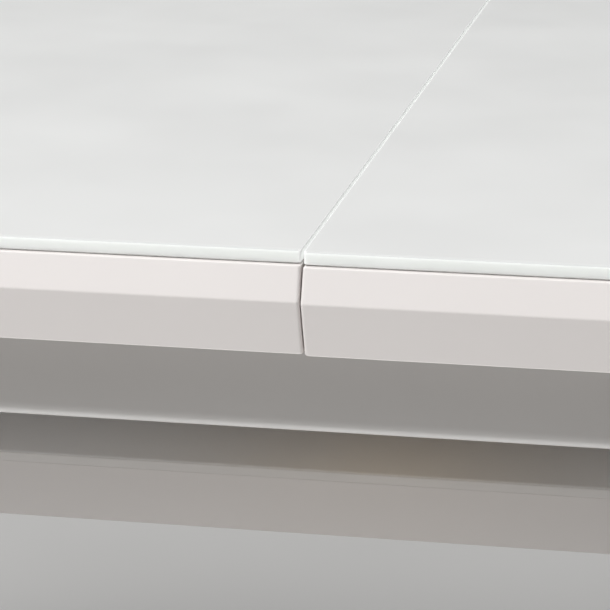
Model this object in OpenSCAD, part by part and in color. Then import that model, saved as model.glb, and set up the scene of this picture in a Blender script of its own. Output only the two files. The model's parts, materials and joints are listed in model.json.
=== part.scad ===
// Extendable dining table with a two-part glass-covered top, a synchronised slide and a stored insert leaf.
// Origin on the floor under the middle of the top. +X along the table, +Y towards the rear, +Z up.

/* [Table top] */
// Length of the closed table
table_length = 1600; // [1500:50:1800]
// Depth of the table, front to rear
table_depth = 900; // [860:20:1000]
// Height of the glass surface above the floor
table_height = 760; // [745:5:780]
// Thickness of the glass sheets
glass_thickness = 5; // [4:1:6]
// Thickness of the film that bonds the glass to the board
film_thickness = 0.5; // [0.3:0.1:1]
// Thickness of the board inside its edge
panel_thickness = 26; // [25:1:28]
// Height of the upper facet of the V-shaped edge
upper_facet_height = 13.3; // [12:0.1:16]
// Height of the lower facet of the V-shaped edge
lower_facet_height = 22.6; // [20:0.1:24]
// Run of the upper facet, outwards to the crease
upper_facet_run = 4.4; // [3:0.1:6]
// Run of the lower facet, back in from the crease
lower_facet_run = 8.6; // [6:0.1:10]
// Width of the thick band along the board's edges
edge_band = 60; // [50:5:70]
// Gap between the two boards at the seam
seam_gap = 0.5; // [0.4:0.1:1]
// Gap between the two glass sheets at the seam
glass_gap = 1; // [0.8:0.1:2]
// How much lower the right half is fitted than the left
seam_step = 0.6; // [0:0.1:0.8]

/* [Frame] */
// Distance of the aprons behind the edge of the top
apron_inset = 75; // [70:1:90]
// Thickness of the aprons
apron_thickness = 20; // [18:1:22]
// Height of the aprons
apron_height = 54; // [50:0.5:56]
// Radius of the lower outer edge of the aprons
apron_rounding = 7; // [3:1:8]
// Side of the square legs
leg_size = 80; // [70:5:90]

/* [Extension] */
// Width of the insert leaf, which is how much the table grows
leaf_width = 500; // [400:50:500]
// Distance of each runner from the middle of the table
runner_offset = 250; // [230:10:260]
// Teeth of the synchroniser pinion
pinion_teeth = 20; // [18:2:22]

/* [Leaf store] */
// Height of the stored leaf's glass surface below the table's own
store_drop = 156; // [150:1:170]
// How far the stored leaf slides out on its hangers
store_travel = 280; // [200:10:280]

/* [Hidden] */
$fn = 48;

half_length = table_length / 2;
half_depth = table_depth / 2;
glass_bottom = table_height - glass_thickness;
board_top = glass_bottom - film_thickness;
board_height = upper_facet_height + lower_facet_height;
board_bottom = board_top - board_height;
panel_bottom = board_top - panel_thickness;
travel = leaf_width / 2;

glass_inset = 6;
glass_arris = 1.4;
film_inset = 6.3;
film_seam_inset = 0.75;
corner_radius = 12;
arris = 1;
crease_radius = 1.6;
arc_steps = 4;

sheet = 2;
clearance_radius = 2.3;
running_gap = 0.8;

frame_top = board_bottom - running_gap;
apron_bottom = frame_top - apron_height;
apron_x = half_length - apron_inset;
apron_y = half_depth - apron_inset;
apron_inner_x = apron_x - apron_thickness;
apron_inner_y = apron_y - apron_thickness;
leg_proud = 5;
leg_x = apron_x + leg_proud - leg_size / 2;
leg_y = apron_y + leg_proud - leg_size / 2;
apron_end_x = leg_x - leg_size / 2;
apron_end_y = leg_y - leg_size / 2;
glide_height = 8;

channel_width = 34;
channel_height = 15.5;
channel_lip = 7;
channel_end = apron_inner_x - 5;
stop_length = 12;

rail_top = board_bottom - channel_height - 0.7;
rail_height = 30;
rail_width = 60;
rail_x = half_depth + rail_width / 2;
rail_bottom = rail_top - rail_height;
rail_bracket_leg = 30;
rail_bracket_height = rail_height - 8;
rail_bracket_hole = 18;

leg_chamfer = 18;
bracket_gap = 5;
bracket_reach = leg_size - apron_thickness - leg_proud + bracket_gap;
bracket_tab = 24;
bracket_low = apron_bottom + 5;
bracket_high = rail_top - 4;
tab_screw_x = 14;
tab_screw_z = [bracket_low + 7, bracket_high - 7];
bolt_radius = 4;
washer = 1;

runner_inner = 20;
runner_outer = channel_end - stop_length - travel - 1;
runner_half = 20;
runner_flange = 3;
web_half = 5;
foot_half = 10;
foot_bottom = rail_top + 4.5;
foot_top = foot_bottom + 5.5;
slider_length = 40;
runner_screws = 4;
runner_screw_inset = 20;
runner_screw_step = (runner_outer - runner_inner - 2 * runner_screw_inset) / (runner_screws - 1);
runner_screw_x = [for (i = [0:runner_screws - 1]) -runner_inner - runner_screw_inset - i * runner_screw_step];
runner_screw_y = 13;

gear_module = 2;
pressure_angle = 20;
pitch_radius = gear_module * pinion_teeth / 2;
tooth_pitch = PI * gear_module;
backlash = 0.4;
gear_bottom = rail_top + 4;
gear_height = 9;
axle_radius = 4;
axle_head = 7;
rack_clearance = 0.15;
rack_line = pitch_radius + rack_clearance;
rack_root = 1.25 * gear_module;
rack_tip = 0.95 * gear_module;
rack_depth = 14;
rack_bottom = gear_bottom + 0.5;
rack_height = gear_height - 1;
rack_reach = travel + 24;
rack_block_start = 60;
rack_block_length = 140;
rack_screw_inset = 25;
rack_screw_x = [
  -rack_block_start - rack_screw_inset,
  -rack_block_start - rack_block_length + rack_screw_inset
];
rack_screw_y = pitch_radius + 8;
rack_screw_radius = 2.5;
bracket_wall_y = rack_line + rack_depth + 0.5;
bracket_wall_height = 13.5;
bracket_half_length = 45;
bracket_screw_x = 18;
bracket_screw_y = bracket_wall_y - 5.65;

pin_y = 280;
pin_z = -panel_thickness / 2;
pin_radius = 4;
pin_length = 15;
pin_taper = 2;
socket_radius = 7;
socket_length = pin_length + 3;

latch_y = 150;
latch_x = 45;
latch_reach = 60;
keeper_radius = 4;
keeper_depth = 11;
pivot_radius = 4;
pivot_head = 7;
lever_thickness = 4;
lever_top = panel_bottom - 4.5;
lever_bottom = lever_top - lever_thickness;

leaf_half = leaf_width / 2 - seam_gap / 2;
felt_thickness = 2;
hanger_x = half_depth + 6;
hanger_front = store_travel + 10;
hanger_back = leaf_width / 2 + 1;
hanger_ledge = board_bottom - store_drop - felt_thickness - 0.3;
hanger_flange = 44;
hanger_reach = 46;
hanger_stop_height = 22;
hanger_screw_x = 24;
hanger_screw_y = [-hanger_front + 30, -90, 90, hanger_back - 30];

white = [0.93, 0.92, 0.9];
glass_white = [0.9, 0.91, 0.9];
steel = [0.62, 0.63, 0.65];
bright_steel = [0.75, 0.76, 0.78];
alloy = [0.8, 0.81, 0.82];
beech = [0.8, 0.66, 0.47];
nylon = [0.92, 0.91, 0.86];
black = [0.12, 0.12, 0.13];
felt = [0.45, 0.45, 0.46];
film_white = [0.84, 0.83, 0.82];

// ---------- outlines ----------

function unit(v) = v / norm(v);

// Points that round one corner of an outline with an arc
function fillet(before, corner, after, radius) =
  let (
    u = unit(before - corner),
    w = unit(after - corner),
    half = acos(u * w) / 2,
    centre = corner + unit(u + w) * radius / sin(half),
    start = unit(corner + u * radius / tan(half) - centre),
    finish = unit(corner + w * radius / tan(half) - centre),
    sweep = 180 - 2 * half
  )
  [for (i = [0:arc_steps])
    let (
      turned = sweep * i / arc_steps,
      direction = (start * sin(sweep - turned) + finish * sin(turned)) / sin(sweep)
    )
    centre + radius * direction];

// An outline with each corner rounded by its own radius, or left sharp where the radius is 0
function rounded(points, radii) =
  let (n = len(points))
  [for (i = [0:n - 1])
    each (radii[i] == 0
      ? [points[i]]
      : fillet(points[(i + n - 1) % n], points[i], points[(i + 1) % n], radii[i]))];

function rectangle(low, high) = [low, [high[0], low[1]], high, [low[0], high[1]]];

// Section across a board with the V-shaped edge at both sides, its top at height 0
function board_section(half) = rounded(
  [
    [-half + upper_facet_run, 0],
    [-half, -upper_facet_height],
    [-half + lower_facet_run, -board_height],
    [half - lower_facet_run, -board_height],
    [half, -upper_facet_height],
    [half - upper_facet_run, 0]
  ],
  [arris, crease_radius, arris, arris, crease_radius, arris]
);

// Section along a half board: V-shaped edge at -length, straight seam edge near 0
function half_section(length, gap) = rounded(
  [
    [-length + upper_facet_run, 0],
    [-length, -upper_facet_height],
    [-length + lower_facet_run, -board_height],
    [-gap / 2, -board_height],
    [-gap / 2, 0]
  ],
  [arris, crease_radius, arris, arris, arris]
);

// ---------- helpers ----------

// Extrudes an outline drawn in Y and Z along X
module along_x(start, length) {
  translate([start, 0, 0]) rotate([90, 0, 90]) linear_extrude(height = length) children();
}

// Extrudes an outline drawn in X and Z along Y
module along_y(start, length) {
  translate([0, start + length, 0]) rotate([90, 0, 0]) linear_extrude(height = length) children();
}

module box(low, high) {
  translate(low) cube(high - low);
}

// Pan head screw that points down from the origin
module pan_screw(length, radius = 2, head = 4) {
  translate([0, 0, -length]) cylinder(h = length, r = radius, $fn = 24);
  cylinder(h = 2, r = head, $fn = 24);
}

module mirrored_x() {
  children();
  mirror([1, 0, 0]) children();
}

module four_corners() {
  mirrored_x() {
    children();
    mirror([0, 1, 0]) children();
  }
}

// ---------- top boards and glass ----------

// Half board on the left side, its top at height 0, with a recess under it that opens to the seam
module half_board() {
  difference() {
    intersection() {
      along_x(-half_length - 1, half_length + 1) polygon(board_section(half_depth));
      along_y(-half_depth - 1, table_depth + 2) polygon(half_section(half_length, seam_gap));
      translate([0, 0, -board_height - 1])
        linear_extrude(height = board_height + 2)
          polygon(rounded(
            rectangle([-half_length, -half_depth], [0, half_depth]),
            [corner_radius, 0, 0, corner_radius]
          ));
    }
    box(
      [-half_length + edge_band, -half_depth + edge_band, -board_height - 1],
      [1, half_depth - edge_band, -panel_thickness]
    );
    for (side = [-1, 1])
      translate([-seam_gap / 2, side * pin_y, pin_z])
        rotate([0, -90, 0])
          cylinder(h = pin_length, r = pin_radius);
  }
}

// The same board for the other half, with larger holes for the sockets
module half_board_with_sockets() {
  difference() {
    half_board();
    for (side = [-1, 1])
      translate([0, side * pin_y, pin_z + seam_step])
        rotate([0, -90, 0])
          cylinder(h = socket_length, r = socket_radius);
  }
}

// Flat glass between two corners seen from above, with rounded arrises and its own corner radii
module glass_sheet(low, high, radii) {
  arrises = [glass_arris, glass_arris, glass_arris, glass_arris];
  intersection() {
    linear_extrude(height = glass_thickness) polygon(rounded(rectangle(low, high), radii));
    along_x(low[0] - 1, high[0] - low[0] + 2)
      polygon(rounded(rectangle([low[1], 0], [high[1], glass_thickness]), arrises));
    along_y(low[1] - 1, high[1] - low[1] + 2)
      polygon(rounded(rectangle([low[0], 0], [high[0], glass_thickness]), arrises));
  }
}

// Glass of the left half: inset from the board's edge, with its seam edge half the gap from the middle
module half_glass() {
  glass_sheet(
    [-half_length + glass_inset, -half_depth + glass_inset],
    [-glass_gap / 2, half_depth - glass_inset],
    [corner_radius - 4, glass_arris, glass_arris, corner_radius - 4]
  );
}

module half_film() {
  translate([-half_length + film_inset, -half_depth + film_inset, 0])
    cube([half_length - film_inset - film_seam_inset, table_depth - 2 * film_inset, film_thickness]);
}

module left_board() {
  color(white) translate([0, 0, board_top]) half_board();
}

module left_glass() {
  color(glass_white) translate([0, 0, glass_bottom]) half_glass();
}

module left_film() {
  color(film_white) translate([0, 0, board_top]) half_film();
}

module right_board() {
  color(white)
    translate([0, 0, board_top - seam_step])
      mirror([1, 0, 0]) half_board_with_sockets();
}

module right_glass() {
  color(glass_white) translate([0, 0, glass_bottom - seam_step]) mirror([1, 0, 0]) half_glass();
}

module right_film() {
  color(film_white) translate([0, 0, board_top - seam_step]) mirror([1, 0, 0]) half_film();
}

// Two alignment pins that stand half out of a seam edge at x, their ends tapered
module dowels(x) {
  shank = 2 * pin_length - pin_taper;
  for (side = [-1, 1])
    translate([x - pin_length, side * pin_y, board_top + pin_z])
      rotate([0, 90, 0]) {
        cylinder(h = shank, r = pin_radius);
        translate([0, 0, shank]) cylinder(h = pin_taper, r1 = pin_radius, r2 = pin_radius - 1.5);
      }
}

module left_dowels() {
  color(nylon) dowels(-seam_gap / 2);
}

// Two socket cups with their mouths at x and their bodies towards +X
module sockets(x, length) {
  for (side = [-1, 1])
    translate([x, side * pin_y, board_top + pin_z])
      rotate([0, 90, 0])
        difference() {
          cylinder(h = length, r = socket_radius);
          translate([0, 0, -1]) cylinder(h = pin_length + 2.5, r = pin_radius + 0.4);
        }
}

module right_sockets() {
  color(nylon) sockets(seam_gap / 2, socket_length - seam_gap / 2);
}

// ---------- fixed frame ----------

// Section of an apron: outer face at 0, body towards +, rounded along the bottom
module apron_section() {
  polygon(rounded(
    rectangle([0, apron_bottom], [apron_thickness, frame_top]),
    [apron_rounding, 3, arris, arris]
  ));
}

module long_apron() {
  along_x(-apron_end_x, 2 * apron_end_x) translate([-apron_y, 0]) apron_section();
}

module end_apron() {
  along_y(-apron_end_y, 2 * apron_end_y) translate([-apron_x, 0]) apron_section();
}

module front_apron() {
  color(white) long_apron();
}

module rear_apron() {
  color(white) mirror([0, 1, 0]) long_apron();
}

module left_apron() {
  color(white) end_apron();
}

module right_apron() {
  color(white) mirror([1, 0, 0]) end_apron();
}

// Square leg with a flat on its inner corner for the hanger bolt; turn brings that corner to the inside
module leg(side_x, side_y, turn) {
  half = leg_size / 2;
  color(white)
    translate([side_x * leg_x, side_y * leg_y, 0])
      rotate([0, 0, turn])
        difference() {
          translate([0, 0, glide_height])
            linear_extrude(height = frame_top - glide_height)
              polygon(rounded(rectangle([-half, -half], [half, half]), [3, 3, 3, 3]));
          translate([half, half, apron_bottom - 1])
            rotate([0, 0, 45])
              translate([-leg_chamfer / 2, -leg_size / 2, 0])
                cube([leg_chamfer, leg_size, apron_height + 2]);
        }
}

// Round foot with a wider flange against the leg
module leg_glides() {
  flange = 2;
  color(black)
    four_corners()
      translate([-leg_x, -leg_y, 0]) {
        cylinder(h = glide_height - flange, r = 18);
        translate([0, 0, glide_height - flange]) cylinder(h = flange, r = 22);
      }
}

// Pressed plate across one corner of the frame, with a tab on each apron
module corner_bracket() {
  corner_x = -apron_end_x + bracket_reach;
  corner_y = -apron_end_y + bracket_reach;
  bend = sheet * tan(22.5);
  difference() {
    translate([0, 0, bracket_low])
      linear_extrude(height = bracket_high - bracket_low)
        polygon([
          [corner_x + bracket_tab, -apron_inner_y],
          [corner_x, -apron_inner_y],
          [-apron_inner_x, corner_y],
          [-apron_inner_x, corner_y + bracket_tab],
          [-apron_inner_x + sheet, corner_y + bracket_tab],
          [-apron_inner_x + sheet, corner_y + bend],
          [corner_x + bend, -apron_inner_y + sheet],
          [corner_x + bracket_tab, -apron_inner_y + sheet]
        ]);
    bolt_axis() cylinder(h = 30, r = bolt_radius + 0.5);
    at_tab_screws() translate([0, 0, -sheet - 1]) cylinder(h = sheet + 2, r = clearance_radius, $fn = 24);
  }
}

// Places a screw at each tab of the front left corner bracket, +Z away from the apron
module at_tab_screws() {
  reach = bracket_reach + tab_screw_x;
  for (z = tab_screw_z) {
    translate([-apron_end_x + reach, -apron_inner_y + sheet, z]) rotate([-90, 0, 0]) children();
    translate([-apron_inner_x + sheet, -apron_end_y + reach, z]) rotate([0, 90, 0]) children();
  }
}

// Frame of the front left hanger bolt: origin where it leaves the leg, +Z towards the table's middle
module bolt_axis() {
  flat = leg_size / 2 - leg_chamfer / sqrt(2) / 2;
  translate([-leg_x + flat, -leg_y + flat, (bracket_low + bracket_high) / 2])
    rotate([0, 0, 45])
      rotate([0, 90, 0])
        children();
}

module corner_brackets() {
  color(steel) four_corners() corner_bracket();
}

module leg_bolts() {
  color(bright_steel)
    four_corners()
      bolt_axis()
        translate([0, 0, -45]) cylinder(h = 75, r = bolt_radius);
}

// Hexagon nut and washer against the inside of each corner bracket
module leg_nuts() {
  bracket_face = leg_chamfer / 2 + (bracket_gap + sheet + sheet * tan(22.5)) / sqrt(2);
  color(bright_steel)
    four_corners()
      bolt_axis()
        translate([0, 0, bracket_face])
          difference() {
            union() {
              translate([0, 0, washer]) cylinder(h = 6.5, r = 7.5, $fn = 6);
              cylinder(h = washer, r = 9);
            }
            translate([0, 0, -1]) cylinder(h = 10, r = bolt_radius - 0.05);
          }
}

module cross_rail(x) {
  color(beech)
    along_y(-apron_inner_y, 2 * apron_inner_y)
      translate([x - rail_width / 2, rail_bottom])
        polygon(rounded(rectangle([0, 0], [rail_width, rail_height]), [2, 2, 2, 2]));
}

module cross_rail_left() {
  cross_rail(-rail_x);
}

module cross_rail_centre() {
  cross_rail(0);
}

module cross_rail_right() {
  cross_rail(rail_x);
}

// Angle bracket in the corner between a cross rail's side and the front apron
module rail_bracket(x) {
  translate([x + rail_width / 2, -apron_inner_y, rail_bottom + (rail_height - rail_bracket_height) / 2])
    difference() {
      linear_extrude(height = rail_bracket_height)
        polygon([
          [0, 0],
          [rail_bracket_leg, 0],
          [rail_bracket_leg, sheet],
          [sheet, sheet],
          [sheet, rail_bracket_leg],
          [0, rail_bracket_leg]
        ]);
      translate([rail_bracket_hole, -1, rail_bracket_height / 2])
        rotate([-90, 0, 0]) cylinder(h = sheet + 2, r = clearance_radius, $fn = 24);
      translate([-1, rail_bracket_hole, rail_bracket_height / 2])
        rotate([0, 90, 0]) cylinder(h = sheet + 2, r = clearance_radius, $fn = 24);
    }
}

module front_and_rear() {
  children();
  mirror([0, 1, 0]) children();
}

module rail_brackets() {
  color(steel)
    for (x = [-rail_x, 0, rail_x])
      front_and_rear() rail_bracket(x);
}

module bracket_screws() {
  screw_z = rail_bottom + rail_height / 2;
  color(bright_steel) {
    for (x = [-rail_x, 0, rail_x])
      front_and_rear() {
        translate([x + rail_width / 2 + rail_bracket_hole, -apron_inner_y + sheet, screw_z])
          rotate([-90, 0, 0]) pan_screw(15);
        translate([x + rail_width / 2 + sheet, -apron_inner_y + rail_bracket_hole, screw_z])
          rotate([0, 90, 0]) pan_screw(15);
      }
    four_corners() at_tab_screws() pan_screw(15);
  }
}

// ---------- runners ----------

// Section of the fixed channel, open at the top between two lips
module channel_section() {
  half = channel_width / 2;
  polygon([
    [-half, 0],
    [half, 0],
    [half, channel_height],
    [half - sheet - channel_lip, channel_height],
    [half - sheet - channel_lip, channel_height - sheet],
    [half - sheet, channel_height - sheet],
    [half - sheet, sheet],
    [-half + sheet, sheet],
    [-half + sheet, channel_height - sheet],
    [-half + sheet + channel_lip, channel_height - sheet],
    [-half + sheet + channel_lip, channel_height],
    [-half, channel_height]
  ]);
}

module channel(y) {
  color(steel)
    difference() {
      along_x(-channel_end, 2 * channel_end) translate([y, rail_top]) channel_section();
      for (x = [-rail_x, 0, rail_x])
        translate([x, y, rail_top - 0.01]) cylinder(h = sheet + 0.02, r1 = 2.2, r2 = 4.3, $fn = 24);
    }
}

module channel_front() {
  channel(-runner_offset);
}

module channel_rear() {
  channel(runner_offset);
}

// Countersunk screws along the channels and pan head screws in the pinion bracket
module mechanism_screws() {
  color(bright_steel)
    for (x = [-rail_x, 0, rail_x])
      for (y = [-runner_offset, runner_offset])
        translate([x, y, rail_top]) {
          translate([0, 0, -24]) cylinder(h = 24, r = 2, $fn = 24);
          cylinder(h = sheet - 0.1, r1 = 2, r2 = 4, $fn = 24);
        }
  color(bright_steel)
    four_corners()
      translate([-bracket_screw_x, -bracket_screw_y, rail_top + sheet]) pan_screw(22);
}

// Angle under each channel end, fixed to the end apron
module channel_end_brackets() {
  color(steel)
    four_corners()
      along_y(-runner_offset - 12, 24)
        translate([-apron_inner_x, rail_top])
          polygon([[0, -sheet], [30, -sheet], [30, 0], [sheet, 0], [sheet, 14], [0, 14]]);
}

module channel_stops() {
  color(black)
    four_corners()
      along_x(-channel_end, stop_length)
        translate([-runner_offset - channel_width / 2 + sheet, rail_top + sheet])
          square([channel_width - 2 * sheet, channel_height - 2 * sheet]);
}

// Moving bar: a flange under the board, a web, and a foot inside the channel
module runner(y, top) {
  color(alloy)
    difference() {
      along_x(-runner_outer, runner_outer - runner_inner)
        translate([y, 0])
          polygon([
            [-runner_half, top],
            [-runner_half, top - runner_flange],
            [-web_half, top - runner_flange],
            [-web_half, foot_top],
            [-foot_half, foot_top],
            [-foot_half, foot_bottom],
            [foot_half, foot_bottom],
            [foot_half, foot_top],
            [web_half, foot_top],
            [web_half, top - runner_flange],
            [runner_half, top - runner_flange],
            [runner_half, top]
          ]);
      for (x = runner_screw_x)
        for (side = [-runner_screw_y, runner_screw_y])
          translate([x, y + side, top - runner_flange - 1])
            cylinder(h = runner_flange + 2, r = clearance_radius, $fn = 24);
    }
}

// Nylon shoe that wraps the foot and fills the channel with a running gap
module slider(x, y) {
  gap = 0.3;
  side_gap = 0.4;
  low = rail_top + sheet + gap;
  high = rail_top + channel_height - sheet - gap;
  reach = channel_width / 2 - sheet - side_gap;
  translate([0, y, 0])
    along_x(x, slider_length)
      polygon([
        [-reach, low],
        [reach, low],
        [reach, high],
        [web_half, high],
        [web_half, foot_top],
        [foot_half, foot_top],
        [foot_half, foot_bottom],
        [-foot_half, foot_bottom],
        [-foot_half, foot_top],
        [-web_half, foot_top],
        [-web_half, high],
        [-reach, high]
      ]);
}

module half_sliders() {
  for (y = [-runner_offset, runner_offset])
    for (x = [-runner_outer, -runner_inner - slider_length])
      slider(x, y);
}

// Screws up into the underside of one half: beside each runner's web, and through the rack block
module half_screws(top, rack_side) {
  for (x = runner_screw_x)
    for (y = [-runner_offset, runner_offset])
      for (side = [-runner_screw_y, runner_screw_y])
        translate([x, y + side, top - runner_flange]) rotate([180, 0, 0]) pan_screw(18);
  for (x = rack_screw_x)
    translate([x, rack_side * rack_screw_y, rack_bottom])
      rotate([180, 0, 0]) pan_screw(36, rack_screw_radius, 4.5);
}

// Small screws that hold a latch plate or a keeper, at x from the seam
module latch_screws(x, top) {
  for (side = [-1, 1])
    for (y = [-13, 13])
      translate([x, side * latch_y + y, top - sheet]) rotate([180, 0, 0]) pan_screw(14, 1.75, 3);
}

module left_runner_front() {
  runner(-runner_offset, panel_bottom);
}

module left_runner_rear() {
  runner(runner_offset, panel_bottom);
}

module left_sliders() {
  color(nylon) half_sliders();
}

module left_screws() {
  color(bright_steel) {
    half_screws(panel_bottom, 1);
    latch_screws(-latch_x - 15, panel_bottom);
    latch_screws(-latch_x + 22, panel_bottom);
  }
}

module right_runner_front() {
  mirror([1, 0, 0]) runner(-runner_offset, panel_bottom - seam_step);
}

module right_runner_rear() {
  mirror([1, 0, 0]) runner(runner_offset, panel_bottom - seam_step);
}

module right_sliders() {
  color(nylon) mirror([1, 0, 0]) half_sliders();
}

module right_screws() {
  color(bright_steel) {
    mirror([1, 0, 0]) half_screws(panel_bottom - seam_step, -1);
    latch_screws(latch_reach - latch_x + 17, panel_bottom - seam_step);
  }
}

// ---------- synchroniser ----------

base_radius = pitch_radius * cos(pressure_angle);
tip_radius = pitch_radius + rack_tip;
root_radius = pitch_radius - rack_root;

// Involute function of the pressure angle at a radius, in degrees
function involute_angle(radius) =
  radius <= base_radius
    ? 0
    : let (a = acos(base_radius / radius)) tan(a) * 180 / PI - a;

// Half of a tooth's angle at a radius, in degrees
function tooth_half_angle(radius) =
  90 / pinion_teeth - backlash / 4 / pitch_radius * 180 / PI
    + involute_angle(pitch_radius) - involute_angle(radius);

flank_steps = 3;
flank_radii = [for (i = [0:flank_steps]) base_radius + (tip_radius - base_radius) * i / flank_steps];

function polar(radius, angle) = [radius * cos(angle), radius * sin(angle)];

function pinion_outline() =
  [for (tooth = [0:pinion_teeth - 1])
    let (middle = tooth * 360 / pinion_teeth)
    each concat(
      [polar(root_radius, middle - tooth_half_angle(base_radius))],
      [for (i = [0:flank_steps]) polar(flank_radii[i], middle - tooth_half_angle(flank_radii[i]))],
      [for (i = [flank_steps:-1:0]) polar(flank_radii[i], middle + tooth_half_angle(flank_radii[i]))],
      [polar(root_radius, middle + tooth_half_angle(base_radius))]
    )];

module pinion() {
  color(nylon)
    translate([0, 0, gear_bottom])
      difference() {
        union() {
          linear_extrude(height = gear_height) polygon(pinion_outline());
          translate([0, 0, -1.5]) cylinder(h = gear_height + 2, r = 9);
        }
        translate([0, 0, -2]) cylinder(h = gear_height + 4, r = axle_radius + 0.05);
      }
}

// Outline of a rack whose teeth point towards -Y and mesh with a pinion at the origin
function rack_outline() =
  let (
    half_tooth = tooth_pitch / 4 - backlash / 4,
    lean = tan(pressure_angle),
    count = floor((rack_reach - 6) / tooth_pitch),
    start = -rack_block_start - rack_block_length,
    valley = rack_line + rack_root,
    crest = rack_line - rack_tip,
    back = rack_line + rack_depth
  )
  concat(
    [[start, valley]],
    [for (i = [-3:count - 1])
      let (x = (i + 0.5) * tooth_pitch)
      each [
        [x - half_tooth - rack_root * lean, valley],
        [x - half_tooth + rack_tip * lean, crest],
        [x + half_tooth - rack_tip * lean, crest],
        [x + half_tooth + rack_root * lean, valley]
      ]],
    [[rack_reach, valley], [rack_reach, back], [start, back]]
  );

// Toothed bar with a raised block that is screwed under its half of the top
module rack(top) {
  color(nylon)
    difference() {
      union() {
        translate([0, 0, rack_bottom]) linear_extrude(height = rack_height) polygon(rack_outline());
        box(
          [-rack_block_start - rack_block_length, rack_line + rack_root, rack_bottom + rack_height],
          [-rack_block_start, rack_line + rack_depth, top]
        );
      }
      for (x = rack_screw_x)
        translate([x, rack_screw_y, rack_bottom - 1])
          cylinder(h = top - rack_bottom + 2, r = rack_screw_radius + 0.05, $fn = 24);
    }
}

module left_rack() {
  rack(panel_bottom);
}

module right_rack() {
  rotate([0, 0, 180]) rack(panel_bottom - seam_step);
}

// Folded plate on the middle rail: it holds the axle and keeps both racks in mesh
module pinion_bracket() {
  color(steel)
    difference() {
      along_x(-bracket_half_length, 2 * bracket_half_length)
        translate([0, rail_top])
          polygon([
            [-bracket_wall_y - sheet, 0],
            [bracket_wall_y + sheet, 0],
            [bracket_wall_y + sheet, bracket_wall_height],
            [bracket_wall_y, bracket_wall_height],
            [bracket_wall_y, sheet],
            [-bracket_wall_y, sheet],
            [-bracket_wall_y, bracket_wall_height],
            [-bracket_wall_y - sheet, bracket_wall_height]
          ]);
      translate([0, 0, rail_top - 1]) cylinder(h = sheet + 2, r = axle_radius);
      four_corners()
        translate([-bracket_screw_x, -bracket_screw_y, rail_top - 1])
          cylinder(h = sheet + 2, r = clearance_radius, $fn = 24);
    }
}

// Shoulder bolt that the pinion turns on, screwed into the middle rail
module pinion_axle() {
  thread = 24;
  head_bottom = gear_bottom + gear_height + 1;
  color(bright_steel) {
    translate([0, 0, rail_top]) cylinder(h = head_bottom - rail_top, r = axle_radius);
    translate([0, 0, rail_top - thread]) cylinder(h = thread, r = axle_radius - 1);
    translate([0, 0, head_bottom]) cylinder(h = 3, r = axle_head);
  }
}

// ---------- seam latches ----------

// Places a latch shape at the front or the rear pivot, +Y towards the rear
module at_latch(side) {
  translate([-latch_x, side * latch_y, 0]) children();
}

module latch_plates() {
  color(steel)
    for (side = [-1, 1])
      at_latch(side)
        translate([0, 0, panel_bottom - sheet])
          linear_extrude(height = sheet)
            polygon(rounded(rectangle([-22, -22], [30, 22]), [5, 5, 5, 5]));
}

module latch_pivots() {
  color(bright_steel)
    for (side = [-1, 1])
      at_latch(side) {
        translate([0, 0, lever_bottom - 0.5])
          cylinder(h = panel_bottom - sheet - lever_bottom + 0.5, r = pivot_radius);
        translate([0, 0, lever_bottom - 2.5]) cylinder(h = 2, r = pivot_head);
      }
}

module latch_keepers() {
  color(steel)
    for (side = [-1, 1])
      translate([latch_reach - latch_x, side * latch_y, panel_bottom - seam_step]) {
        translate([0, 0, -sheet])
          linear_extrude(height = sheet)
            polygon(rounded(rectangle([-9, -20], [22, 20]), [4, 4, 4, 4]));
        translate([0, 0, -keeper_depth]) cylinder(h = keeper_depth - sheet, r = keeper_radius);
      }
}

// Lever in its open place: the hook arm points to +Y, and the notch faces +X so that it closes clockwise
module lever_shape() {
  notch_half = keeper_radius + 0.4;
  difference() {
    linear_extrude(height = lever_thickness)
      polygon(rounded(
        [
          [-11, -12],
          [-7, -48],
          [7, -48],
          [11, -12],
          [9, latch_reach + 12],
          [-9, latch_reach + 12]
        ],
        [6, 5, 5, 6, 5, 5]
      ));
    translate([0, 0, -1]) cylinder(h = lever_thickness + 2, r = pivot_radius + 0.05);
    translate([0, latch_reach, -1]) cylinder(h = lever_thickness + 2, r = notch_half);
    translate([0, latch_reach - notch_half, -1]) cube([20, 2 * notch_half, lever_thickness + 2]);
  }
}

module latch_lever_front() {
  color(black)
    at_latch(-1)
      translate([0, 0, lever_bottom]) mirror([0, 1, 0]) lever_shape();
}

module latch_lever_rear() {
  color(black)
    at_latch(1)
      translate([0, 0, lever_bottom]) lever_shape();
}

// ---------- insert leaf and its store ----------

// Turns a leaf drawn as it is used into its stored place, a quarter turn round and lower
module stored() {
  translate([0, 0, -store_drop]) rotate([0, 0, 90]) children();
}

module leaf_board() {
  color(white)
    stored()
      translate([0, 0, board_top])
        difference() {
          intersection() {
            along_x(-leaf_half, 2 * leaf_half) polygon(board_section(half_depth));
            along_y(-half_depth - 1, table_depth + 2)
              polygon(rounded(
                rectangle([-leaf_half, -board_height], [leaf_half, 0]),
                [arris, arris, arris, arris]
              ));
          }
          box(
            [-leaf_width, -half_depth + edge_band, -board_height - 1],
            [leaf_width, half_depth - edge_band, -panel_thickness]
          );
          for (side = [-1, 1]) {
            translate([leaf_half - pin_length, side * pin_y, pin_z])
              rotate([0, 90, 0]) cylinder(h = pin_length + 1, r = pin_radius);
            translate([-leaf_half - 1, side * pin_y, pin_z])
              rotate([0, 90, 0]) cylinder(h = socket_length + 1, r = socket_radius);
          }
        }
}

module leaf_glass() {
  reach_x = leaf_width / 2 - glass_gap / 2;
  reach_y = half_depth - glass_inset;
  color(glass_white)
    stored()
      translate([0, 0, glass_bottom])
        glass_sheet(
          [-reach_x, -reach_y],
          [reach_x, reach_y],
          [glass_arris, glass_arris, glass_arris, glass_arris]
        );
}

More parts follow.
